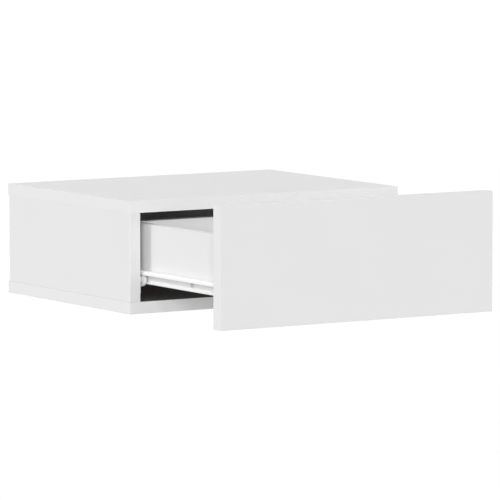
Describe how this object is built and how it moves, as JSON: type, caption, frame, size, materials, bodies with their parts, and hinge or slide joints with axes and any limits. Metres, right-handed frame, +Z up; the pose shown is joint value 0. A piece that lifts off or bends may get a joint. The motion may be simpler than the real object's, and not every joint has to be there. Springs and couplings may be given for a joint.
{
  "type": "floating nightstand",
  "caption": "Wall-hung nightstand: a shallow white laminated box with a handleless drawer on roller runners; it stores small things beside a bed.",
  "frame": {"origin": "centre of the rear face, where the carcass lies against the wall", "axes": "+Z up, +X to the right seen from the front, +Y into the wall; the drawer pulls out along -Y"},
  "size_m": [0.4, 0.515, 0.151],
  "materials": {
    "white_laminate": "white melamine on particleboard, satin, edges banded in the same white",
    "drawer_laminate": "white melamine on thin particleboard, satin",
    "hardboard": "raw brown hardboard, smooth face",
    "white_hardboard": "hardboard with a white printed face",
    "white_steel": "white epoxy powder coat, semi-gloss",
    "roller_plastic": "moulded off-white nylon",
    "zinc_casting": "die-cast zinc, dull",
    "plated_steel": "zinc-plated steel, bright"
  },
  "bodies": {
    "cabinet": {"top_panel": "white_laminate", "bottom_panel": "white_laminate", "side_panel_left": "white_laminate", "side_panel_right": "white_laminate", "back_panel": "hardboard", "hanging_rail": "white_laminate", "runner_cabinet_left": "white_steel", "runner_cabinet_right": "white_steel", "axle_front_left": "plated_steel", "axle_front_right": "plated_steel", "top_left_front_cam": "zinc_casting", "top_left_rear_cam": "zinc_casting", "bottom_left_front_cam": "zinc_casting", "bottom_left_rear_cam": "zinc_casting", "rail_left_cam": "zinc_casting", "top_right_front_cam": "zinc_casting", "top_right_rear_cam": "zinc_casting", "bottom_right_front_cam": "zinc_casting", "bottom_right_rear_cam": "zinc_casting", "rail_right_cam": "zinc_casting", "top_left_front_bolt": "plated_steel", "top_left_rear_bolt": "plated_steel", "bottom_left_front_bolt": "plated_steel", "bottom_left_rear_bolt": "plated_steel", "rail_left_bolt": "plated_steel", "top_right_front_bolt": "plated_steel", "top_right_rear_bolt": "plated_steel", "bottom_right_front_bolt": "plated_steel", "bottom_right_rear_bolt": "plated_steel", "rail_right_bolt": "plated_steel", "runner_cabinet_left_screw_1": "plated_steel", "runner_cabinet_left_screw_2": "plated_steel", "runner_cabinet_right_screw_1": "plated_steel", "runner_cabinet_right_screw_2": "plated_steel"},
    "drawer": {"drawer_front": "white_laminate", "drawer_side_left": "drawer_laminate", "drawer_side_right": "drawer_laminate", "drawer_back": "drawer_laminate", "drawer_bottom": "white_hardboard", "runner_drawer_left": "white_steel", "runner_drawer_right": "white_steel", "axle_rear_left": "plated_steel", "axle_rear_right": "plated_steel", "drawer_left_cam": "zinc_casting", "drawer_right_cam": "zinc_casting", "drawer_left_bolt": "plated_steel", "drawer_right_bolt": "plated_steel", "runner_drawer_left_screw_1": "plated_steel", "runner_drawer_left_screw_2": "plated_steel", "runner_drawer_right_screw_1": "plated_steel", "runner_drawer_right_screw_2": "plated_steel", "drawer_back_left_screw_1": "plated_steel", "drawer_back_left_screw_2": "plated_steel", "drawer_back_right_screw_1": "plated_steel", "drawer_back_right_screw_2": "plated_steel"},
    "roller_front_left": {"roller_front_left": "roller_plastic"},
    "roller_front_right": {"roller_front_right": "roller_plastic"},
    "roller_rear_left": {"roller_rear_left": "roller_plastic"},
    "roller_rear_right": {"roller_rear_right": "roller_plastic"}
  },
  "joints": [
    {"name": "drawer_slide", "type": "slide", "parent": "cabinet", "child": "drawer", "axis": [0, -1, 0], "range_m": [-0.194, 0]},
    {"name": "roller_front_left_spin", "type": "hinge", "parent": "cabinet", "child": "roller_front_left", "pos_m": [-0.1779, -0.295, -0.0281], "axis": [1, 0, 0], "range_deg": [-1200, 0]},
    {"name": "roller_front_right_spin", "type": "hinge", "parent": "cabinet", "child": "roller_front_right", "pos_m": [0.1779, -0.295, -0.0281], "axis": [1, 0, 0], "range_deg": [-1200, 0]},
    {"name": "roller_rear_left_spin", "type": "hinge", "parent": "drawer", "child": "roller_rear_left", "pos_m": [-0.1802, -0.259, -0.0347], "axis": [1, 0, 0], "range_deg": [-1200, 0]},
    {"name": "roller_rear_right_spin", "type": "hinge", "parent": "drawer", "child": "roller_rear_right", "pos_m": [0.1802, -0.259, -0.0347], "axis": [1, 0, 0], "range_deg": [-1200, 0]}
  ],
  "couplings": [
    {"joint": "roller_front_left_spin", "follows": "drawer_slide", "rad_per_m": 107.53},
    {"joint": "roller_front_right_spin", "follows": "drawer_slide", "rad_per_m": 107.53},
    {"joint": "roller_rear_left_spin", "follows": "drawer_slide", "rad_per_m": 107.53},
    {"joint": "roller_rear_right_spin", "follows": "drawer_slide", "rad_per_m": 107.53}
  ]
}
